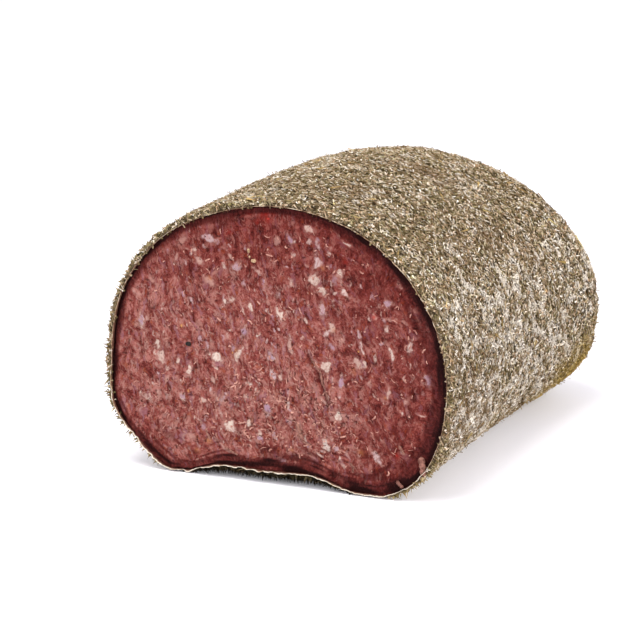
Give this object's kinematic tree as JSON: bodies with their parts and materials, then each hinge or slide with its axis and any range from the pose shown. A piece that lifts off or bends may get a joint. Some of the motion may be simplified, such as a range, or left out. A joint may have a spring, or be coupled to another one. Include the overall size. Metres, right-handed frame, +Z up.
{
  "type": "cured sausage half",
  "caption": "Cut half of a wide cured sausage: coarse red meat flecked with fat, in a thin casing coated all over with dried herbs, lying on its flattened side.",
  "frame": {"origin": "on the surface it lies on, under the middle of its box", "axes": "+Z up, the cut faces -Y, the rounded far end points to +Y"},
  "size_m": [0.1378, 0.153, 0.094],
  "materials": {
    "cured_meat": null,
    "dried_herbs": null
  },
  "bodies": {
    "root": {"meat": "cured_meat", "herb_casing": "dried_herbs"}
  },
  "joints": []
}
